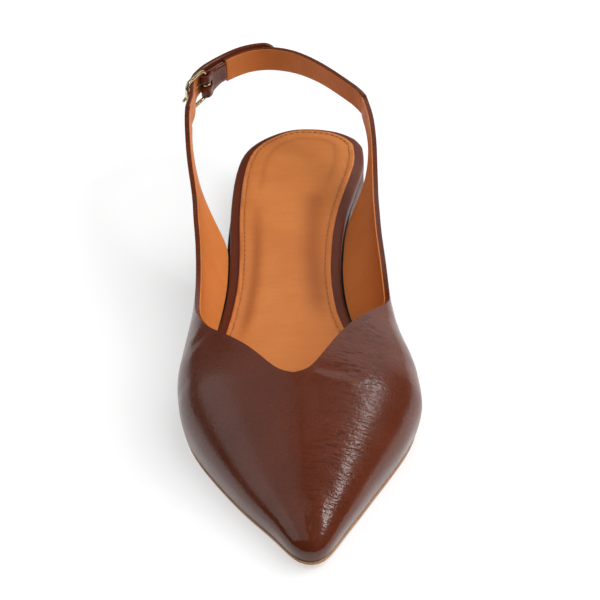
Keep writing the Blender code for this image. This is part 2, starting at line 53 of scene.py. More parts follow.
def copyOf(node):
    # A merged copy of a node's mesh, with its triangles joined to four-sided faces again
    bm = bmesh.new()
    bm.from_mesh(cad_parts[node].data)
    bmesh.ops.remove_doubles(bm, verts=bm.verts, dist=weld)
    bmesh.ops.join_triangles(bm, faces=bm.faces, angle_face_threshold=math.radians(40),
                             angle_shape_threshold=math.radians(60), topology_influence=1.0)
    bmesh.ops.recalc_face_normals(bm, faces=bm.faces)
    return bm


def turnOf(edge):
    return edge.calc_face_angle(0.0)


def regionsOf(bm, angle):
    # Groups of faces that meet in edges flatter than the angle, the largest first
    left = set(bm.faces)
    groups = []
    while left:
        start = left.pop()
        group = [start]
        queue = [start]
        while queue:
            for edge in queue.pop().edges:
                if turnOf(edge) > math.radians(angle):
                    continue
                for near in edge.link_faces:
                    if near in left:
                        left.remove(near)
                        group.append(near)
                        queue.append(near)
        groups.append(group)
    return sorted(groups, key=lambda group: -sum(face.calc_area() for face in group))


def roundEdges(bm, edges, width):
    rounded = bmesh.ops.bevel(bm, geom=edges, offset=width, offset_type="OFFSET", affect="EDGES",
                              segments=2, profile=0.5, material=-1, clamp_overlap=True)
    return rounded["faces"]


def creaseEdges(bm, angle, behind=None):
    # Edges that turn more than the angle stay as they are when the mesh is subdivided
    layer = bm.edges.layers.float.get("crease_edge") or bm.edges.layers.float.new("crease_edge")
    for edge in bm.edges:
        if behind is not None and min(vert.co.y for vert in edge.verts) <= behind:
            continue
        if turnOf(edge) > math.radians(angle):
            edge[layer] = 1.0


def borderOf(bm, faces):
    # The edges round a group of faces
    group = set(faces)
    return [edge for edge in bm.edges if len([face for face in edge.link_faces if face in group]) == 1]


def makePiece(name, bm, materials):
    mesh = bpy.data.meshes.new(name)
    bm.to_mesh(mesh)
    bm.free()
    mesh.shade_smooth()
    piece = bpy.data.objects.new(name, mesh)
    bpy.context.scene.collection.objects.link(piece)
    for material in materials:
        mesh.materials.append(material)
    return piece


def subdivided(bm, name, levels):
    # The mesh with its subdivision applied, so that folds can be pressed into it
    piece = makePiece(name, bm, [])
    smooth = piece.modifiers.new("smooth", "SUBSURF")
    smooth.levels = levels
    smooth.render_levels = levels
    bpy.context.view_layer.update()
    graph = bpy.context.evaluated_depsgraph_get()
    mesh = bpy.data.meshes.new_from_object(piece.evaluated_get(graph))
    bpy.data.objects.remove(piece)
    fine = bmesh.new()
    fine.from_mesh(mesh)
    bpy.data.meshes.remove(mesh)
    return fine


def finishPiece(piece, node, sharp=45):
    piece.data.set_sharp_from_angle(angle=math.radians(sharp))
    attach(piece, "root")
    if node:
        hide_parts(node)


def smoothStep(value, low, high):
    t = min(max((value - low) / (high - low), 0.0), 1.0)
    return t * t * (3 - 2 * t)


def nearLine(point, line):
    # Distance to a line of points, and the share of the way along it
    best = (1.0, 0.0)
    for i, (start, end) in enumerate(zip(line, line[1:])):
        run = end - start
        t = min(max((point - start).dot(run) / run.length_squared, 0.0), 1.0)
        gap = (point - start - run * t).length
        if gap < best[0]:
            best = (gap, (i + t) / (len(line) - 1))
    return best


def pressFold(vert, normal, fold):
    # A soft trough, or a ridge where the depth is negative, that fades out at its ends
    gap, along = nearLine(vert.co, fold["line"])
    if gap > 3 * fold["half"]:
        return 0.0
    fade = fold.get("fade", 0.3)
    ends = smoothStep(along, -0.01, fade) * smoothStep(1 - along, -0.01, fade)
    return fold["depth"] * ends * math.exp(-(gap / fold["half"]) ** 2)


def places(*rows):
    return [Vector(row) * mm for row in rows]


def foldAlong(half, depth, *rows, **more):
    # Half width and depth in mm, then the places along its line, then its fade or its darkening, which is
    # stain and painted shade
    return {"line": places(*rows), "half": half * mm, "depth": depth * mm, **more}


# Material helpers

class Finish:
    # A Principled material with a few short ways to add nodes to it
    def __init__(self, name, colour, roughness, **sockets):
        self.material = bpy.data.materials.new(name)
        self.material.use_nodes = True
        self.tree = self.material.node_tree
        self.shader = self.tree.nodes["Principled BSDF"]
        self.shader.inputs["Base Color"].default_value = (*colour, 1.0)
        self.shader.inputs["Roughness"].default_value = roughness
        for socket, value in sockets.items():
            self.shader.inputs[socket.replace("_", " ")].default_value = value
        self.place = self.tree.nodes.new("ShaderNodeTexCoord").outputs["Object"]

    def join(self, source, target):
        self.tree.links.new(source, target)

    def stretched(self, scale, turn=(0, 0, 0)):
        node = self.tree.nodes.new("ShaderNodeMapping")
        node.inputs["Scale"].default_value = scale
        node.inputs["Rotation"].default_value = [math.radians(a) for a in turn]
        self.join(self.place, node.inputs["Vector"])
        return node.outputs["Vector"]

    def noise(self, scale, detail=3.0, rough=0.55, vector=None, distortion=0.0):
        node = self.tree.nodes.new("ShaderNodeTexNoise")
        node.inputs["Scale"].default_value = scale
        node.inputs["Detail"].default_value = detail
        node.inputs["Roughness"].default_value = rough
        node.inputs["Distortion"].default_value = distortion
        self.join(vector or self.place, node.inputs["Vector"])
        return node.outputs["Fac"]

    def cells(self, scale):
        node = self.tree.nodes.new("ShaderNodeTexVoronoi")
        node.feature = "SMOOTH_F1"
        node.inputs["Scale"].default_value = scale
        self.join(self.place, node.inputs["Vector"])
        return node.outputs["Distance"]

    def ranged(self, value, low, high, newLow=0.0, newHigh=1.0):
        node = self.tree.nodes.new("ShaderNodeMapRange")
        sockets = ("From Min", "From Max", "To Min", "To Max")
        for socket, number in zip(sockets, (low, high, newLow, newHigh)):
            node.inputs[socket].default_value = number
        self.join(value, node.inputs["Value"])
        return node.outputs["Result"]

    def math(self, kind, first, second):
        node = self.tree.nodes.new("ShaderNodeMath")
        node.operation = kind
        for socket, value in zip(node.inputs, (first, second)):
            if isinstance(value, (int, float)):
                socket.default_value = value
            else:
                self.join(value, socket)
        return node.outputs["Value"]

    def attribute(self, name):
        node = self.tree.nodes.new("ShaderNodeAttribute")
        node.attribute_name = name
        return node.outputs["Fac"]

    def mixed(self, share, first, second, blend="MIX"):
        node = self.tree.nodes.new("ShaderNodeMix")
        node.data_type = "RGBA"
        node.blend_type = blend
        if isinstance(share, (int, float)):
            node.inputs["Factor"].default_value = share
        else:
            self.join(share, node.inputs["Factor"])
        for socket, value in ((node.inputs[6], first), (node.inputs[7], second)):
            if isinstance(value, tuple):
                socket.default_value = (*value, 1.0)
            else:
                self.join(value, socket)
        return node.outputs[2]

    def bump(self, height, distance, before=None):
        node = self.tree.nodes.new("ShaderNodeBump")
        node.inputs["Distance"].default_value = distance
        self.join(height, node.inputs["Height"])
        if before:
            self.join(before, node.inputs["Normal"])
        return node.outputs["Normal"]

    def colourFrom(self, colour):
        self.join(colour, self.shader.inputs["Base Color"])

    def roughnessFrom(self, value):
        self.join(value, self.shader.inputs["Roughness"])

    def normalFrom(self, normal, coat=True):
        self.join(normal, self.shader.inputs["Normal"])
        if coat:
            self.join(normal, self.shader.inputs["Coat Normal"])


leather = {
    "colour": (0.115, 0.0222, 0.0072),
    "deep": (0.084, 0.0150, 0.0050),
    "warm": (0.138, 0.0290, 0.0104),
    # painted shade colour that darkens the wrinkle valleys
    "valleyShade": (0.034, 0.0055, 0.0020),
    "plainRoughness": 0.40,
    "roughness": (0.20, 0.29),
    "polish": 0.07,
    "dullRoughness": (0.42, 0.56),
    "specular": 0.45,
    "coat": 0.14,
    "dullCoat": 0.04,
    "coatRoughness": 0.13,
    "cloudScale": 38.0,
    "cloudShare": 0.45,
    "hazeScale": 140.0,
    "patchScale": 75.0,
    "poreScale": 1250.0,
    "poreShade": (1.06, 0.86),
    "poreDepth": 0.000045,
    "wrinkleDepth": 0.000085,
}


def brownLeather(name, wrinkled=False, dull=False):
    # Wrinkled leather reads the upper's attributes, and dull leather has little gloss
    coat = leather["dullCoat"] if dull else leather["coat"]
    finish = Finish(name, leather["colour"], leather["plainRoughness"], Coat_Weight=coat,
                    Coat_Roughness=leather["coatRoughness"], Specular_IOR_Level=leather["specular"])
    cloud = finish.ranged(finish.noise(leather["cloudScale"], 3.0), 0.35, 0.65)
    tone = finish.mixed(cloud, leather["deep"], leather["warm"])
    tone = finish.mixed(leather["cloudShare"], leather["colour"], tone)
    pores = finish.cells(leather["poreScale"])
    dark = finish.ranged(pores, 0.1, 0.75, *leather["poreShade"])
    shade = finish.tree.nodes.new("ShaderNodeCombineColor")
    for socket in shade.inputs[:3]:
        finish.join(dark, socket)
    tone = finish.mixed(1.0, tone, shade.outputs["Color"], "MULTIPLY")
    low, high = leather["dullRoughness" if dull else "roughness"]
    matt = finish.ranged(finish.noise(leather["hazeScale"], 4.0), 0.3, 0.7, low, high)
    normal = finish.bump(pores, leather["poreDepth"])
    if wrinkled:
        shine = finish.math("MULTIPLY", finish.attribute("polish"), leather["polish"])
        matt = finish.math("SUBTRACT", matt, shine)
        # The attribute holds the place across and along the wrinkles, counted in wrinkles
        flow = finish.tree.nodes.new("ShaderNodeAttribute")
        flow.attribute_name = "flow"
        lines = finish.noise(1.0, 1.2, 0.5, flow.outputs["Vector"], 0.25)
        patches = finish.ranged(finish.noise(leather["patchScale"], 2.0), 0.34, 0.58, 0.45, 1.0)
        amount = finish.math("MULTIPLY", finish.attribute("wrinkle"), patches)
        height = finish.math("MULTIPLY", finish.ranged(lines, 0.30, 0.70), amount)
        normal = finish.bump(height, leather["wrinkleDepth"], normal)
        # Painted shade darkens the valleys between the wrinkles
        valleyShade = finish.math("MULTIPLY", finish.ranged(lines, 0.32, 0.52, 0.60, 0.0), amount)
        tone = finish.mixed(valleyShade, tone, leather["valleyShade"])
    finish.colourFrom(tone)
    finish.roughnessFrom(matt)
    finish.normalFrom(normal)
    return finish.material


lining = {
    "colour": (0.640, 0.228, 0.060),
    "wingColour": (0.670, 0.222, 0.056),
    "deep": (0.470, 0.130, 0.028),
    # darkest colour of the sock's grooves: partly the leather's own, partly painted shade
    "stainAndShadeColour": (0.270, 0.066, 0.014),
    "plainRoughness": 0.50,
    "roughness": (0.42, 0.60),
    "specular": 0.15,
    "wornSpecular": 0.30,
    "cloudScale": 45.0,
    "hazeScale": 160.0,
    "grainScale": 1300.0,
    "grainDepth": 0.000020,
    "acrossScale": (120.0, 720.0, 120.0),
    "acrossDepth": 0.00009,
}


def cognacLeather(name, wornWithShade=False):
    colour = lining["colour"] if wornWithShade else lining["wingColour"]
    specular = lining["wornSpecular"] if wornWithShade else lining["specular"]
    finish = Finish(name, colour, lining["plainRoughness"], Specular_IOR_Level=specular)
    cloud = finish.ranged(finish.noise(lining["cloudScale"], 4.0), 0.3, 0.7, 0.0, 0.45)
    tone = finish.mixed(cloud, colour, lining["deep"])
    grain = finish.noise(lining["grainScale"], 3.0)
    tone = finish.mixed(finish.ranged(grain, 0.3, 0.7, 0.0, 0.16), tone, lining["deep"])
    across = finish.noise(1.0, 2.0, 0.55, finish.stretched(lining["acrossScale"]), 0.3)
    tone = finish.mixed(finish.ranged(across, 0.35, 0.65, 0.0, 0.15), tone, lining["deep"])
    # On the sock the grooves, arcs and stitch seam darken: partly the leather's own darker colour, partly
    # painted shade in the troughs and a painted shadow of the inner wing and strap
    if wornWithShade:
        tone = finish.mixed(finish.attribute("stainAndShadeMask"), tone, lining["stainAndShadeColour"])
    finish.colourFrom(tone)
    haze = finish.noise(lining["hazeScale"], 3.0)
    finish.roughnessFrom(finish.ranged(haze, 0.3, 0.7, *lining["roughness"]))
    normal = finish.bump(grain, lining["grainDepth"])
    finish.normalFrom(finish.bump(across, lining["acrossDepth"], normal), coat=False)
    return finish.material


sole = {
    "plain": (0.40, 0.16, 0.055),
    "light": (0.44, 0.235, 0.115),
    "deep": (0.33, 0.155, 0.070),
    "stain": (0.030, 0.012, 0.008),
    "stainReach": (-35.0 * mm, 5.0 * mm),
    "plainRoughness": 0.50,
    "roughness": (0.42, 0.62),
    "fibreScale": (260.0, 60.0, 1800.0),
    "fibreDepth": 0.00004,
}


def soleLeather(name):
    # Tan at the forefoot, stained dark along the waist and heel
    finish = Finish(name, sole["plain"], sole["plainRoughness"])
    split = finish.tree.nodes.new("ShaderNodeSeparateXYZ")
    finish.join(finish.place, split.inputs["Vector"])
    back = finish.ranged(split.outputs["Y"], *sole["stainReach"])
    fibre = finish.noise(1.0, 4.0, 0.6, finish.stretched(sole["fibreScale"]))
    tan = finish.mixed(finish.ranged(fibre, 0.3, 0.7), sole["light"], sole["deep"])
    finish.colourFrom(finish.mixed(back, tan, sole["stain"]))
    finish.roughnessFrom(finish.ranged(fibre, 0.3, 0.7, *sole["roughness"]))
    finish.normalFrom(finish.bump(fibre, sole["fibreDepth"]), coat=False)
    return finish.material


topPiece = {
    "plain": (0.055, 0.030, 0.010),
    "first": (0.045, 0.026, 0.010),
    "second": (0.075, 0.045, 0.018),
    "plainRoughness": 0.60,
    "roughness": (0.52, 0.72),
    "grainScale": 900.0,
    "grainDepth": 0.00004,
}
gold = {
    "plain": (0.80, 0.68, 0.42),
    "first": (0.82, 0.71, 0.46),
    "second": (0.70, 0.57, 0.33),
    "plainRoughness": 0.20,
    "roughness": (0.14, 0.30),
    "grainScale": 500.0,
    "grainDepth": 0.000008,
}


def speckled(name, look, detail, **sockets):
    # One fine noise gives the colour, the gloss and the grain
    finish = Finish(name, look["plain"], look["plainRoughness"], **sockets)
    speckle = finish.noise(look["grainScale"], detail)
    finish.colourFrom(finish.mixed(finish.ranged(speckle, 0.3, 0.7), look["first"], look["second"]))
    finish.roughnessFrom(finish.ranged(speckle, 0.3, 0.7, *look["roughness"]))
    finish.normalFrom(finish.bump(speckle, look["grainDepth"]), coat=False)
    return finish.material


plyScale = 2600.0
plyShade = 0.55


def thread(name, colour):
    finish = Finish(name, colour, 0.55)
    ply = finish.noise(1.0, 2.0, 0.5, finish.stretched([plyScale] * 3, (0, 0, 35)))
    deep = tuple(part * plyShade for part in colour)
    finish.colourFrom(finish.mixed(finish.ranged(ply, 0.35, 0.65), deep, colour))
    finish.normalFrom(finish.bump(ply, 0.00005), coat=False)
    return finish.material


vampLeather = brownLeather("vampLeather", wrinkled=True)
strapLeather = brownLeather("strapLeather")
liningLeather = cognacLeather("liningLeather")
sockLeather = cognacLeather("sockLeather", wornWithShade=True)
goldMetal = speckled("paleGold", gold, 4.0, Metallic=1.0)
brownThread = thread("brownThread", (0.105, 0.040, 0.026))
tanThread = thread("tanThread", (0.420, 0.150, 0.045))
print("materials made")


# Stitches

def orderedLoop(edges):
    # The points of one closed or open run of edges, in order
    links = {}
    for edge in edges:
        for vert in edge.verts:
            links.setdefault(vert, []).append(edge)
    ends = [vert for vert, near in links.items() if len(near) == 1]
    vert = ends[0] if ends else next(iter(links))
    run = [vert]
    used = set()
    while True:
        onward = [edge for edge in links[vert] if edge not in used]
        if not onward:
            break
        used.add(onward[0])
        vert = onward[0].other_vert(vert)
        run.append(vert)
    return run


def seamLine(node, choose, inset):
    # The line at a set distance inside the edge of one face region of a node, with its normals
    bm = copyOf(node)
    group = [g for g in regionsOf(bm, 30) if choose(g)][0]
    bmesh.ops.delete(bm, geom=[f for f in bm.faces if f not in set(group)], context="FACES")
    rim = bmesh.ops.inset_region(bm, faces=bm.faces, use_boundary=True, use_even_offset=True,
                                 thickness=inset)["faces"]
    inner = [edge for edge in borderOf(bm, rim) if len(edge.link_faces) == 2]
    run = orderedLoop(inner)
    line = [(vert.co.copy(), vert.normal.copy()) for vert in run]
    bm.free()
    return line


def stitchesAlong(bm, line, stitch):
    # Short oval stitches at an even pitch along the line
    distance = [0.0]
    for (start, _), (end, _) in zip(line, line[1:]):
        distance.append(distance[-1] + (end - start).length)
    count = int(distance[-1] / stitch["pitch"])
    i = 0
    for k in range(count):
        at = (k + 0.5) * distance[-1] / count
        while distance[i + 1] < at:
            i += 1
        t = (at - distance[i]) / max(distance[i + 1] - distance[i], 1e-9)
        place = line[i][0].lerp(line[i + 1][0], t)
        up = line[i][1].lerp(line[i + 1][1], t).normalized()
        ahead = (line[i + 1][0] - line[i][0]).normalized()
        side = up.cross(ahead).normalized()
        turn = Matrix((ahead, side, up)).transposed().to_4x4()
        size = Matrix.Diagonal((stitch["long"] / 2, stitch["wide"] / 2, stitch["high"], 1.0))
        bmesh.ops.create_uvsphere(bm, u_segments=8, v_segments=5, radius=1.0,
                                  matrix=Matrix.Translation(place + up * stitch["lift"]) @ turn @ size)


# Upper: dark leather outside and over the cut edge, cognac lining inside

upperSkin = {
    "panelAngle": 50,
    "rollOut": 0.55 * mm,
    "rollIn": 0.42 * mm,
    "levels": 2,
    "wingEnd": 91.6 * mm,
    "endCrease": 1.0,
    "beadLift": 0.22 * mm,
    "beadReach": (30.0 * mm, 44.0 * mm),
    "quarterSeam": 21.0 * mm,
    "seamHalf": 0.45 * mm,
    "seamDepth": 0.38 * mm,
    # how much the wrinkles, with their painted valley shade, grow along the seam's trough
    "quarterSeamShade": 1.6,
    "toeShine": (106.0 * mm, 130.0 * mm),
    "ballMatt": (-104.0 * mm, -84.0 * mm),
    "ballShare": 0.5,
}

# The soft ridge down the vamp. Its line gives the crown, as x at each y, from the V to the toe
keel = {
    "line": places((1.6, -60.0, 0.0), (2.2, -88.0, 0.0), (2.3, -100.0, 0.0), (2.5, -112.0, 0.0),
                   (3.4, -128.0, 0.0), (4.0, -136.0, 0.0)),
    "height": 0.90 * mm,
    "wide": 9.0 * mm,
    "narrow": 4.2 * mm,
    "soft": 0.7 * mm,
    "start": 45.0 * mm,
    "rise": (66.0 * mm, 88.0 * mm),
    "narrowing": (112.0 * mm, 132.0 * mm),
    "tip": (128.0 * mm, 136.0 * mm),
    "tipDrop": 0.65,
    "facing": (-0.15, 0.4),
}

# Wrinkle grain lies along its line over the inner side of the vamp
grain = {
    "line": places((28, -52, 34), (25, -70, 30), (22, -88, 24), (15, -108, 18), (8, -126, 13), (5, -135, 10)),
    "apart": 0.95 * mm,
    "long": 3.4 * mm,
    "left": 13.0 * mm,
    "right": 7.0 * mm,
    "fade": (0.45, 1.35),
    "least": 0.06,
    "toe": (117.0 * mm, 129.0 * mm),
    "toeDrop": 0.75,
    "joint": (-82.0 * mm, -66.0 * mm),
    "jointGain": 0.5,
    "arch": (0.02, 0.24),
    "archReach": (98.0 * mm, 122.0 * mm),
}


def grainAt(place):
    # How wrinkled the leather is here, and the place across and along its arched wrinkles
    line = grain["line"]
    gap, along = nearLine(place, line)
    i = min(int(along * (len(line) - 1)), len(line) - 2)
    middle = line[i].lerp(line[i + 1], along * (len(line) - 1) - i)
    side = place.x - middle.x
    reach = grain["right"] if side > 0 else grain["left"]
    core, rim = grain["fade"]
    amount = (1 - smoothStep(gap, core * reach, rim * reach)) * (1 - grain["least"]) + grain["least"]
    toe = grain["toeDrop"] * smoothStep(-place.y, *grain["toe"])
    amount *= 1 - toe + grain["jointGain"] * smoothStep(place.y, *grain["joint"])
    least, more = grain["arch"]
    arch = (least + more * smoothStep(-place.y, *grain["archReach"])) * max(-side, 0.0)
    across = (place.y - arch) / grain["apart"]
    return amount, Vector((place.x / grain["long"], across, place.z / grain["long"]))


vampFolds = [
    # where the outer wing meets the vamp
    foldAlong(2.8, 0.20, (-29.5, -42.5, 31.5), (-33.5, -45.5, 29.5), (-37.4, -47.0, 25.5)),
    foldAlong(2.4, -0.10, (-31.5, -38.0, 30.5), (-35.5, -41.5, 27.5), (-39.4, -44.0, 22.5)),
    foldAlong(2.6, -0.10, (-30.0, -47.5, 31.0), (-34.0, -50.0, 28.5), (-38.0, -53.0, 24.0)),
    # the faint crease under the V
    foldAlong(2.4, 0.34, (6.0, -71.0, 34.4), (12.0, -72.5, 33.4), (18.5, -72.5, 32.0), (25.0, -71.5, 29.8)),
    foldAlong(2.0, -0.42, (5.0, -75.0, 33.3), (12.0, -76.8, 31.9), (18.5, -77.3, 30.4), (25.0, -76.3, 28.2)),
    # the rounded edge that the light follows to the toe
    foldAlong(3.0, -0.40, (6.6, -114.0, 16.5), (5.8, -122.0, 14.2), (5.0, -131.0, 11.6), fade=0.4),
    # short soft wrinkles over the inner joint of the foot
    foldAlong(1.1, 0.10, (16.0, -56.0, 35.5), (21.0, -54.0, 34.8), (26.0, -53.5, 33.2)),
    foldAlong(1.1, 0.10, (18.0, -60.5, 34.6), (23.5, -58.5, 33.6), (29.0, -59.0, 31.4)),
    foldAlong(1.2, 0.12, (16.0, -65.5, 34.3), (22.0, -64.0, 33.2), (28.0, -64.5, 31.0)),
    foldAlong(1.2, 0.10, (20.0, -70.0, 31.8), (26.0, -69.0, 30.2), (31.0, -70.0, 27.6)),
    foldAlong(1.1, 0.09, (15.0, -85.5, 28.2), (20.0, -84.0, 27.0), (25.0, -84.5, 24.6)),
    foldAlong(1.1, 0.09, (13.0, -91.0, 26.0), (18.5, -89.5, 24.8), (23.5, -90.5, 22.4)),
    foldAlong(1.1, 0.08, (11.0, -97.5, 23.6), (16.5, -96.0, 22.4), (21.5, -97.0, 19.6)),
    foldAlong(1.1, 0.07, (9.5, -104.0, 21.2), (14.5, -103.0, 20.0), (19.0, -104.0, 17.6)),
    # flex marks low on both sides of the ball
    foldAlong(2.2, 0.16, (-36.0, -62.0, 24.0), (-39.5, -61.0, 17.5), (-41.0, -60.5, 11.0)),
    foldAlong(2.4, 0.13, (-34.5, -69.0, 22.0), (-37.8, -68.5, 15.5), (-39.2, -68.0, 9.0)),
    foldAlong(2.2, 0.15, (37.5, -50.0, 26.0), (40.5, -49.0, 19.0), (41.5, -48.0, 11.0)),
    foldAlong(2.4, 0.12, (37.0, -58.0, 24.0), (40.2, -57.5, 17.0), (41.0, -57.0, 9.0)),
    # the long sag of the outer wing
    foldAlong(5.0, 0.25, (-41.0, 8.0, 30.0), (-40.5, -12.0, 27.0), (-40.5, -30.0, 22.0)),
]


def keelLift(vert):
    # How far the ridge stands up here. It fades where the leather turns under
    ahead = -vert.co.y
    if vert.normal.z < keel["facing"][0] or ahead < keel["start"]:
        return 0.0
    gap = nearLine(Vector((vert.co.x, vert.co.y, 0.0)), keel["line"])[0]
    reach = keel["wide"] + (keel["narrow"] - keel["wide"]) * smoothStep(ahead, *keel["narrowing"])
    ends = smoothStep(ahead, *keel["rise"]) * (1 - keel["tipDrop"] * smoothStep(ahead, *keel["tip"]))
    fall = math.exp(-math.hypot(gap, keel["soft"]) / reach)
    return keel["height"] * fall * ends * smoothStep(vert.normal.z, *keel["facing"])


def raiseBead(faces):
    # The lining's edge stands a little above the leather along the V
    for face in faces:
        face.material_index = 1
    for vert in {v for f in faces for v in f.verts}:
        vert.co.z += upperSkin["beadLift"] * smoothStep(-vert.co.y, *upperSkin["beadReach"])


def makeUpper():
    bm = copyOf("upper")
    outer, inner = regionsOf(bm, upperSkin["panelAngle"])[:2]
    for face in bm.faces:
        face.material_index = 0
    for face in inner:
        face.material_index = 1
    inEdges = borderOf(bm, inner)
    roundEdges(bm, borderOf(bm, outer), upperSkin["rollOut"])
    inEdges = [edge for edge in inEdges if edge.is_valid]
    raiseBead(roundEdges(bm, inEdges, upperSkin["rollIn"]))
    creaseEdges(bm, upperSkin["endCrease"], upperSkin["wingEnd"])
    fine = subdivided(bm, "upper_draft", upperSkin["levels"])
    wrinkle = fine.verts.layers.float.new("wrinkle")
    flow = fine.verts.layers.float_vector.new("flow")
    polish = fine.verts.layers.float.new("polish")
    fine.normal_update()
    moves = []
    for vert in fine.verts:
        leatherSide = all(face.material_index == 0 for face in vert.link_faces)
        depth = sum(pressFold(vert, vert.normal, fold) for fold in vampFolds) if leatherSide else 0.0
        vert[wrinkle], vert[flow] = grainAt(vert.co)
        matt = upperSkin["ballShare"] * smoothStep(vert.co.y, *upperSkin["ballMatt"])
        vert[polish] = smoothStep(-vert.co.y, *upperSkin["toeShine"]) - matt
        seam = math.exp(-((vert.co.y - upperSkin["quarterSeam"]) / upperSkin["seamHalf"]) ** 2)
        # Along the inner quarter seam a trough is pressed, and more wrinkle there brings deeper bumps and
        # painted shade in their valleys
        if leatherSide and vert.co.x > 0 and abs(vert.normal.x) > 0.5:
            depth += upperSkin["seamDepth"] * seam
            vert[wrinkle] += upperSkin["quarterSeamShade"] * seam
        if leatherSide:
            depth -= keelLift(vert)
        moves.append(vert.normal * -depth)
    for vert, move in zip(fine.verts, moves):
        vert.co += move
    piece = makePiece("upper_skin", fine, [vampLeather, liningLeather])
    finishPiece(piece, "upper", 60)
    print("upper", len(piece.data.polygons))


# Straps: leather outside and on the cut edges, lining towards the foot

strapSkin = {
    "turnIn": 0.30 * mm,
    "overlap": 0.45 * mm,
    "wingEnd": 93.2 * mm,
    "ease": 12.0 * mm,
    "outward": 0.85 * mm,
    "footward": -0.6,
    "level": 0.4,
    "rimAngle": 40,
    "crease": 26,
}
strapStitch = {
    "inset": 1.15 * mm,
    "pitch": 2.5 * mm,
    "long": 1.9 * mm,
    "wide": 0.42 * mm,
    "high": 0.16 * mm,
    "lift": 0.02 * mm,
}


def facesOutward(face):
    away = face.calc_center_median() - heelMiddle
    away.z = 0
    return face.normal.dot(away.normalized())


def makeStrap(node):
    bm = copyOf(node)
    lined = [face for face in bm.faces if facesOutward(face) < strapSkin["footward"]
             and abs(face.normal.z) < strapSkin["level"]]
    if node == "billet_strap":
        # The tail past the buckle is leather on both sides
        lined = [face for face in lined if face.calc_center_median().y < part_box("buckle_frame")[1][1]]
    for face in bm.faces:
        face.material_index = 0
    for face in lined:
        face.material_index = 1
    rim = [edge for edge in borderOf(bm, lined) if turnOf(edge) > math.radians(strapSkin["rimAngle"])]
    for face in roundEdges(bm, rim, strapSkin["turnIn"]):
        face.material_index = 1
    # The strap's end meets the outer side of its wing
    for vert in bm.verts:
        near = 1 - smoothStep(vert.co.y, strapSkin["wingEnd"], strapSkin["wingEnd"] + strapSkin["ease"])
        vert.co.x += math.copysign(strapSkin["outward"], vert.co.x) * near
        if vert.co.y < strapSkin["wingEnd"]:
            vert.co.y -= strapSkin["overlap"]
    creaseEdges(bm, strapSkin["crease"])
    fine = subdivided(bm, node + "_draft", 2)
    piece = makePiece(node + "_skin", fine, [strapLeather, liningLeather])
    finishPiece(piece, node, 50)
    stitches = bmesh.new()
    line = seamLine(node, lambda g: sum(facesOutward(f) for f in g) > 0, strapStitch["inset"])
    stitchesAlong(stitches, line, strapStitch)
    finishPiece(makePiece(node + "_stitches", stitches, [brownThread]), None)
    print(node, "dressed")


loopSkin = {
    "crease": 26,
    "sagDepth": 1.7 * mm,
    "sagTop": 46.0 * mm,
    "sagSoft": 3.0 * mm,
    "barReach": (116.0 * mm, 123.0 * mm),
}


def makeLoop():
    bm = copyOf("buckle_loop")
    creaseEdges(bm, loopSkin["crease"])
    fine = subdivided(bm, "loop_draft", 2)
    for vert in fine.verts:
        # The tab hangs a little wider than the strap below the bar
        low = smoothStep(loopSkin["sagTop"] - vert.co.z, 0.0, loopSkin["sagSoft"])
        vert.co.z -= loopSkin["sagDepth"] * low * (1 - smoothStep(vert.co.y, *loopSkin["barReach"]))
    finishPiece(makePiece("buckle_loop_skin", fine, [strapLeather]), "buckle_loop", 50)
    print("loop dressed")


# Buckle: the same wire, rounded

buckleSkin = {
    "frameGrow": 0.11 * mm,
    "prongGrow": 0.07 * mm,
    "crease": 62,
}


def makeWire(node, grow):
    bm = copyOf(node)
    creaseEdges(bm, buckleSkin["crease"])
    fine = subdivided(bm, node + "_draft", 2)
    fine.normal_update()
    for vert in fine.verts:
        vert.co += vert.normal * grow
    finishPiece(makePiece(node + "_skin", fine, [goldMetal]), node, 50)
    print(node, "dressed")


# Insole: a padded leather sock with an edge stitch and a pressed groove

sock = {
    "cell": 1.3 * mm,
    "crown": 0.35 * mm,
    "crownReach": 7.0 * mm,
    "arcInset": 7.5 * mm,
    "arcHalf": 1.1 * mm,
    "arcDepth": 0.14 * mm,
    "arcShade": 0.30,
    "arcReach": (60.0 * mm, 85.0 * mm),
    "seamHalf": 0.7 * mm,
    "seamDepth": 0.16 * mm,
    "seamTroughShade": 0.28,
}
# The pressed grooves darken partly in the leather's own colour and partly with painted shade in their
# troughs; the two on the inner side also carry a painted shadow of the inner wing and strap
sockGrooves = [
    foldAlong(2.2, 0.55, (-14.0, 64.0, 20), (-14.6, 53.9, 20), (-14.6, 28.1, 16.8), (-15.7, 12.0, 13.1),
              (-18.1, -3.3, 9.5), (-20.8, -13.7, 7.3), (-23.0, -26.0, 5.5), stain=0.62, fade=0.35),
    foldAlong(4.5, 0.40, (11.0, 72.0, 20), (9.1, 60.5, 20), (7.3, 27.0, 16.4), (8.7, 5.8, 11.5),
              (11.0, -11.8, 7.7), stain=0.62, fade=0.25),
    foldAlong(4.5, 0.30, (12.5, 76.0, 20), (12.0, 62.0, 20), (12.8, 50.0, 19.8), stain=0.30, fade=0.5),
]
sockStitch = {
    "inset": 1.7 * mm,
    "pitch": 2.6 * mm,
    "long": 1.9 * mm,
    "wide": 0.40 * mm,
    "high": 0.14 * mm,
    "lift": 0.14 * mm,
}


def cutInCells(bm, low, high, cell):
    # Even cuts across the shoe and along it, so that the sock can be shaped
    for axis, normal in ((1, (0, 1, 0)), (0, (1, 0, 0))):
        at = low[axis] + cell
        while at < high[axis]:
            place = [0.0, 0.0, 0.0]
            place[axis] = at
            bmesh.ops.bisect_plane(bm, geom=bm.verts[:] + bm.edges[:] + bm.faces[:], dist=0.00002,
                                   plane_co=place, plane_no=normal)
            at += cell


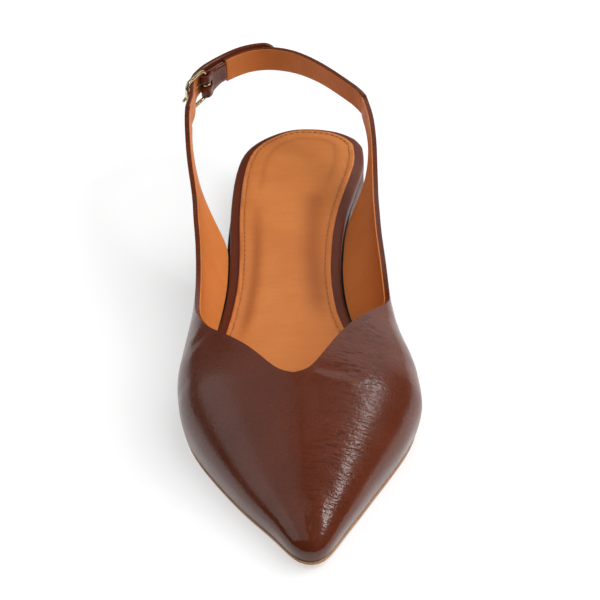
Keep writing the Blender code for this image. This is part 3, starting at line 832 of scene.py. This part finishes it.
def makeSock():
    low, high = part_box("insole")
    bm = copyOf("insole")
    cutInCells(bm, low, high, sock["cell"])
    top = [face for face in bm.faces if face.normal.z > 0.9]
    border = {vert for edge in borderOf(bm, top) for vert in edge.verts}
    tree = KDTree(len(border))
    for i, vert in enumerate(border):
        tree.insert((vert.co.x, vert.co.y, 0.0), i)
    tree.balance()
    stainAndShadeMask = bm.verts.layers.float.new("stainAndShadeMask")
    for vert in {v for f in top for v in f.verts}:
        inset = tree.find((vert.co.x, vert.co.y, 0.0))[2]
        lift = sock["crown"] * smoothStep(inset, 0.0, sock["crownReach"])
        # The darkening mask: painted shade in the troughs and a painted shadow along the inner side, partly
        # the leather's own darker groove colour
        stain = 0.0
        for fold in sockGrooves:
            press = pressFold(vert, vert.normal, fold)
            lift -= press
            stain = max(stain, press / fold["depth"] * fold["stain"])
        # Faint arcs inside the heel edge and the stitch seam are shallow troughs with painted shade in them
        arc = math.exp(-((inset - sock["arcInset"]) / sock["arcHalf"]) ** 2)
        arc *= smoothStep(vert.co.y, *sock["arcReach"])
        seam = math.exp(-((inset - sockStitch["inset"]) / sock["seamHalf"]) ** 2)
        lift -= sock["arcDepth"] * arc + sock["seamDepth"] * seam
        stain = max(stain, sock["arcShade"] * arc, sock["seamTroughShade"] * seam)
        vert.co.z += lift
        vert[stainAndShadeMask] = stain
    piece = makePiece("insole_skin", bm, [sockLeather])
    finishPiece(piece, "insole", 40)
    stitches = bmesh.new()
    line = seamLine("insole", lambda g: sum(f.normal.z for f in g) > 0, sockStitch["inset"])
    stitchesAlong(stitches, line, sockStitch)
    finishPiece(makePiece("insole_stitches", stitches, [tanThread]), None)
    print("sock dressed")


# Sole and heel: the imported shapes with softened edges

layerSkin = {
    "sharp": 55,
    "crease": 12,
    "rimRound": 0.20 * mm,
    "soleRound": 0.15 * mm,
    "heelRound": 0.30 * mm,
    "ledge": 0.5 * mm,
    "ledgeReach": (20.0 * mm, 50.0 * mm),
}


def makeLayer(node, material, width, ledge=0.0):
    # The ledge is how far the layer stands out round the forefoot
    bm = copyOf(node)
    sharp = [edge for edge in bm.edges if turnOf(edge) > math.radians(layerSkin["sharp"])]
    roundEdges(bm, sharp, width)
    creaseEdges(bm, layerSkin["crease"])
    fine = subdivided(bm, node + "_draft", 1)
    if ledge:
        fine.normal_update()
        for vert in fine.verts:
            side = Vector((vert.normal.x, vert.normal.y, 0.0))
            vert.co += side * smoothStep(-vert.co.y, *layerSkin["ledgeReach"]) * ledge
    finishPiece(makePiece(node + "_skin", fine, [material]), node, 40)
    print(node, "dressed")


makeUpper()
makeStrap("sling_strap")
makeStrap("billet_strap")
makeLoop()
makeWire("buckle_frame", buckleSkin["frameGrow"])
makeWire("buckle_prong", buckleSkin["prongGrow"])
makeSock()
makeLayer("footbed_rim", brownLeather("rimLeather", dull=True), layerSkin["rimRound"])
makeLayer("outsole", soleLeather("outsoleLeather"), layerSkin["soleRound"], layerSkin["ledge"])
makeLayer("heel_block", brownLeather("heelLeather", dull=True), layerSkin["heelRound"])
makeLayer("heel_top_piece", speckled("topPieceRubber", topPiece, 3.0), layerSkin["heelRound"])


# Floor, light and camera

studio = {
    "sides": 64,
    "floorRadius": 4.0,
    "floorGrey": 0.46,
    "floorGlow": 0.56,
    "floorDrop": 0.1 * mm,
    "wallRadius": 3.9,
    "wallHeight": 4.0,
    "wallMiddle": 1.99,
    "wallGlow": 0.62,
    "roomGlow": 0.06,
}
white = (1.0, 1.0, 1.0, 1.0)


def glowing(name, grey, roughness, glow):
    finish = Finish(name, (grey, grey, grey), roughness, Specular_IOR_Level=0.0, Emission_Strength=glow,
                    Emission_Color=white)
    return finish.material


def makeFloor():
    # Lit a little from within, so that the shadows stay pale
    bm = bmesh.new()
    bmesh.ops.create_circle(bm, cap_ends=True, segments=studio["sides"], radius=studio["floorRadius"])
    paint = glowing("paleFloor", studio["floorGrey"], 0.9, studio["floorGlow"])
    floor = makePiece("floor", bm, [paint])
    floor.location.z = -studio["floorDrop"]


def makeWall():
    # A pale wall far off, seen behind the shoe from low down but not in its gloss
    bm = bmesh.new()
    bmesh.ops.create_cone(bm, segments=studio["sides"], radius1=studio["wallRadius"],
                          radius2=studio["wallRadius"], depth=studio["wallHeight"])
    wall = makePiece("wall", bm, [glowing("paleWall", 0.0, 1.0, studio["wallGlow"])])
    wall.location.z = studio["wallMiddle"]
    for ray in ("visible_glossy", "visible_diffuse", "visible_shadow", "visible_transmission"):
        setattr(wall, ray, False)


# Panels as seen from the shoe: turn and rise in degrees. Those not mirrored only brighten
lightPanels = {
    "leftPanel": {"turn": -100, "rise": 34, "far": 1.3, "size": (1.1, 0.7),
                  "radiance": 0.95, "mirrored": True},
    "topLeftPanel": {"turn": -104, "rise": 64, "far": 1.2, "size": (1.2, 0.7),
                     "radiance": 0.52, "mirrored": True},
    "rightStrip": {"turn": 100, "rise": 47, "far": 1.1, "size": (0.28, 0.15),
                   "radiance": 10.0, "mirrored": True},
    "backPanel": {"turn": 150, "rise": 31, "far": 1.3, "size": (0.85, 1.30),
                  "radiance": 0.78, "mirrored": True},
    "ceiling": {"turn": 85, "rise": 57, "far": 1.9, "size": (2.4, 2.4),
                "radiance": 2.68, "mirrored": False},
}


def aimed(place, target):
    return (target - place).to_track_quat("-Z", "Y")


def makeLights(target):
    for name, panel in lightPanels.items():
        lamp = bpy.data.lights.new(name, "AREA")
        lamp.shape = "RECTANGLE"
        lamp.size, lamp.size_y = panel["size"]
        lamp.energy = panel["radiance"] * math.pi * lamp.size * lamp.size_y
        obj = bpy.data.objects.new(name, lamp)
        bpy.context.scene.collection.objects.link(obj)
        turn, rise = math.radians(panel["turn"]), math.radians(panel["rise"])
        way = Vector((math.sin(turn) * math.cos(rise), -math.cos(turn) * math.cos(rise), math.sin(rise)))
        obj.location = target + way * panel["far"]
        obj.rotation_mode = "QUATERNION"
        obj.rotation_quaternion = aimed(obj.location, target)
        obj.visible_glossy = panel["mirrored"]
    world = bpy.data.worlds.new("studio")
    world.use_nodes = True
    room = world.node_tree.nodes["Background"]
    room.inputs["Color"].default_value = white
    room.inputs["Strength"].default_value = studio["roomGlow"]
    bpy.context.scene.world = world


view = {
    "eye": Vector((0.0124, -0.5918, 0.4181)),
    "target": Vector((0.0023, -0.0102, 0.0200)),
    "lens": 112.9,
    "sensor": 36.0,
    "roll": 2.99,
}


def makeCamera():
    camera = bpy.data.cameras.new("camera")
    camera.lens = view["lens"]
    camera.sensor_width = view["sensor"]
    obj = bpy.data.objects.new("camera", camera)
    bpy.context.scene.collection.objects.link(obj)
    obj.location = view["eye"]
    obj.rotation_mode = "QUATERNION"
    roll = Quaternion((0, 0, 1), math.radians(-view["roll"]))
    obj.rotation_quaternion = aimed(view["eye"], view["target"]) @ roll
    bpy.context.scene.camera = obj


makeFloor()
makeWall()
makeLights(view["target"])
makeCamera()
bpy.context.scene.view_settings.view_transform = "Standard"
print("stage set")
